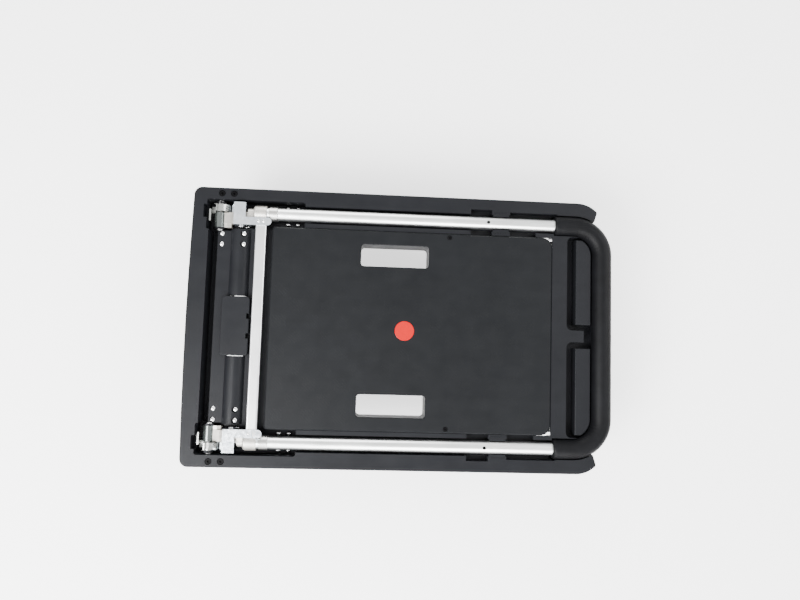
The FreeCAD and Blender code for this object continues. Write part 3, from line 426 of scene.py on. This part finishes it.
def crease_depth(here, out, corner, swell):
    """Depth of the creases on the inside of a bend, at a point of the centre line, towards out."""
    if here.x <= corner.x or abs(here.y) <= corner.y:
        return 0.0
    middle = Vector((corner.x, math.copysign(corner.y, here.y), here.z))
    inner = max(0.0, (middle - here).normalized().dot(out))
    turned = math.atan2(abs(here.y) - corner.y, here.x - corner.x)
    fade = math.sin(2 * turned)
    crease = 0.5 - 0.5 * math.cos(turned * CREASE_RATE + 2.2 * swell)
    return CREASE_DEPTH * inner ** 2 * fade * crease ** 3


def make_grip(material):
    """Foam sleeve: soft swell, faint creases on the inside of each bend, rounded ends."""
    low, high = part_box("handle_grip")
    radius = (high.z - low.z) / 2
    cross_x, tube_y = high.x - radius, high.y - radius
    corner = Vector((cross_x - GRIP_BEND, tube_y - GRIP_BEND, (low.z + high.z) / 2))
    line = grip_line(low, corner, cross_x, tube_y)
    count = len(line)

    def radius_at(i, out):
        here = line[i]
        r = radius - SKIN_INSET
        to_round = GRIP_END_R - min(i, count - 1 - i) * GRIP_STEP
        if to_round > 0:
            r -= GRIP_END_R - math.sqrt(GRIP_END_R ** 2 - to_round ** 2)
        swell = noise.noise(Vector((here.x * 34, here.y * 34, out.z * 1.6)))
        return r + SWELL * swell - crease_depth(here, out, corner, swell)

    verts, faces = sweep(line, radius_at, GRIP_SEGMENTS)
    last = (count - 1) * GRIP_SEGMENTS
    bore = len(verts)
    for i, first in ((0, 0), (count - 1, last)):
        for k in range(GRIP_SEGMENTS):
            out = (verts[first + k] - line[i]).normalized()
            verts.append(line[i] + out * GRIP_BORE_R)
    for k in range(GRIP_SEGMENTS):
        n = (k + 1) % GRIP_SEGMENTS
        faces.append((n, k, bore + k, bore + n))
        faces.append((last + k, last + n, bore + GRIP_SEGMENTS + n, bore + GRIP_SEGMENTS + k))
    grip = make_piece("foam_grip", verts, faces, material, "handle", ["handle_grip"])


# ---- anti-slip tread on the panel ---------------------------------------------------------
def around(low, high, margin):
    """Plan rectangle (x0, y0, x1, y1) round a box, with a margin."""
    return (low[0] - margin, low[1] - margin, high[0] + margin, high[1] + margin)


def kept_clear():
    """Plan rectangles round the badge, the hand slots and the two panel screws."""
    clear = [around(*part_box("centre_badge"), BADGE_CLEARANCE)]
    for opening in frame["record"]["physics"]["openings"]:
        if opening["name"].startswith("hand_slot"):
            clear.append(around(*opening["box_m"], SLOT_CLEARANCE))
    low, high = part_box("panel_screws")
    for y in (low.y, high.y):
        edge = (centre("panel_screws").x, y)
        clear.append(around(edge, edge, SCREW_CLEARANCE))
    return clear


def add_rib(verts, faces, a, b):
    """Low ridge from a to b with sloping flanks and tapered ends."""
    ahead = (b - a).normalized()
    side = Vector((-ahead.y, ahead.x, 0)) * RIB_HALF
    base = len(verts)
    for end, inset in ((a, ahead), (b, -ahead)):
        top = end + inset * (1.2 * RIB_HALF) + Vector((0, 0, RIB_HEIGHT))
        verts += [end + side, end - side, top + side * 0.4, top - side * 0.4]
    order = ((0, 2, 6, 4), (2, 3, 7, 6), (3, 1, 5, 7), (1, 3, 2, 0), (5, 4, 6, 7))
    faces += [tuple(base + v for v in face) for face in order]


def add_tile(verts, faces, x0, y0, z):
    """One square of ribs at 45 degrees, each cut off by the square's edges."""
    for n in range(int(2 * TILE / RIB_PITCH)):
        reach = (n + 0.5) * RIB_PITCH
        a = Vector((x0 + max(0.0, reach - TILE), y0 + min(TILE, reach), z))
        b = Vector((x0 + min(TILE, reach), y0 + max(0.0, reach - TILE), z))
        if (b - a).length > SHORTEST_RIB:
            add_rib(verts, faces, a, b)


def make_tread(material):
    """Checkerboard of fine diagonal ribs on the panel, clear of its slots, badge and screws."""
    low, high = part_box("deck_panel")
    columns = int((high.x - low.x - 2 * TREAD_MARGIN) / CELL)
    rows = int((high.y - low.y - 2 * TREAD_MARGIN) / CELL)
    clear = kept_clear()
    verts, faces = [], []
    for i in range(columns):
        for j in range(rows):
            x0, y0 = low.x + TREAD_MARGIN + i * CELL, (j - rows / 2) * CELL
            blocked = any(x0 < right and x0 + TILE > left and y0 < top and y0 + TILE > bottom
                          for left, bottom, right, top in clear)
            if (i + j) % 2 == 0 and not blocked:
                add_tile(verts, faces, x0, y0, high.z)
    make_piece("panel_tread", verts, faces, material, "deck")


# ---- tyres -----------------------------------------------------------------------------
def make_tyre(end, side, material):
    """Rubber tyre turned from a profile: crowned tread, mould line, stepped side walls."""
    node = "%s_tyre_%s" % (end, side)
    low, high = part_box(node)
    axle = centre(node)
    outer_r = (high.z - low.z) / 2
    widen = (high.y - low.y) / 2 / TYRE_OUTLINE_HALF
    half = [(out * MM * widen, outer_r - down * MM) for out, down in TYRE_OUTLINE]
    profile = [(-out, r) for out, r in reversed(half)] + half[1:]
    seat_r = outer_r - TYRE_SEAT_DEPTH
    profile += [(TYRE_SEAT_HALF, seat_r), (-TYRE_SEAT_HALF, seat_r)]
    verts = []
    for out, r in profile:
        for k in range(TYRE_SEGMENTS):
            a = 2 * math.pi * k / TYRE_SEGMENTS
            verts.append((axle.x + r * math.cos(a), axle.y + out, axle.z + r * math.sin(a)))
    faces = stitch(len(profile), TYRE_SEGMENTS)
    last = (len(profile) - 1) * TYRE_SEGMENTS
    for k in range(TYRE_SEGMENTS):
        n = (k + 1) % TYRE_SEGMENTS
        faces.append((last + k, last + n, n, k))
    tyre = make_piece("tyre_%s_%s" % (end, side), verts, faces, material,
                      "%s_wheel_%s" % (end, side), [node])
    sharp = tyre.modifiers.new("edges", "EDGE_SPLIT")
    sharp.split_angle = SHARP_EDGE


# ---- stage ------------------------------------------------------------------------
def make_floor():
    """Matt white floor that glows a little, so that it stays pale under the deck too."""
    bpy.ops.mesh.primitive_plane_add(size=14.0, location=(0, 0, 0))
    floor = bpy.context.object
    floor.name = "floor"
    s = Shader("floor", (0.93, 0.93, 0.93), 0.75, specular=0.2)
    s.tint(s.noise(3.0), 0.995, 1.005)
    s.bsdf.inputs["Emission Color"].default_value = (1.0, 1.0, 1.0, 1.0)
    s.bsdf.inputs["Emission Strength"].default_value = 0.9
    floor.data.materials.append(s.mat)


def area_light(name, place, aim, size, power):
    data = bpy.data.lights.new(name, "AREA")
    data.shape = "SQUARE"
    data.size = size
    data.energy = power
    light = bpy.data.objects.new(name, data)
    light.location = place
    light.rotation_euler = (Vector(aim) - Vector(place)).to_track_quat("-Z", "Y").to_euler()
    bpy.context.scene.collection.objects.link(light)


def make_lights():
    """A key light from the tail's right and three fills, each aimed at the cart."""
    area_light("key", (-1.35, -1.05, 1.9), (-0.05, 0, 0.1), 1.3, 185.0)
    area_light("fill_nose", (1.9, 0.5, 1.5), (0, 0, 0.1), 1.5, 45.0)
    area_light("fill_left", (-0.4, 2.3, 1.0), (0, 0, 0.1), 1.5, 45.0)
    area_light("fill_right", (0.3, -2.0, 1.4), (0, 0, 0.1), 1.5, 100.0)


def make_world():
    """White surroundings that brighten from the horizon towards the ceiling."""
    world = bpy.data.worlds.new("studio")
    bpy.context.scene.world = world
    world.use_nodes = True
    tree = world.node_tree
    background = tree.nodes["Background"]
    background.inputs["Color"].default_value = (1.0, 1.0, 1.0, 1.0)
    direction = tree.nodes.new("ShaderNodeTexCoord")
    split = tree.nodes.new("ShaderNodeSeparateXYZ")
    brightness = tree.nodes.new("ShaderNodeMapRange")
    set_range(brightness, 0.05, 0.70, 0.85, 1.5)
    tree.links.new(direction.outputs["Generated"], split.inputs[0])
    tree.links.new(split.outputs["Z"], brightness.inputs["Value"])
    tree.links.new(brightness.outputs["Result"], background.inputs["Strength"])


def make_camera():
    """Almost straight down on the deck, a little off its middle, with a slight tilt."""
    deck_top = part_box("deck_frame")[1].z
    data = bpy.data.cameras.new("camera")
    data.sensor_width = 36.0
    data.lens = 27.9
    camera = bpy.data.objects.new("camera", data)
    spin = Matrix.Rotation(math.radians(-2.003), 3, "Z")
    pitch = Matrix.Rotation(math.radians(3.344), 3, "Y")
    roll = Matrix.Rotation(math.radians(-4.6105), 3, "X")
    turn = (spin @ pitch @ roll).transposed().to_4x4()
    place = Matrix.Translation((-0.0692, -0.0331, deck_top + 1.0766))
    camera.matrix_world = place @ turn
    bpy.context.scene.collection.objects.link(camera)
    bpy.context.scene.camera = camera


materials = make_materials()
dress(materials)
for side in SIDES:
    make_spring(side, materials["spring_steel"])
    for end in ENDS:
        make_tyre(end, side, materials["tyre_rubber"])
make_grip(materials["grip_foam"])
make_tread(materials["panel_plastic"])
make_floor()
make_lights()
make_world()
make_camera()
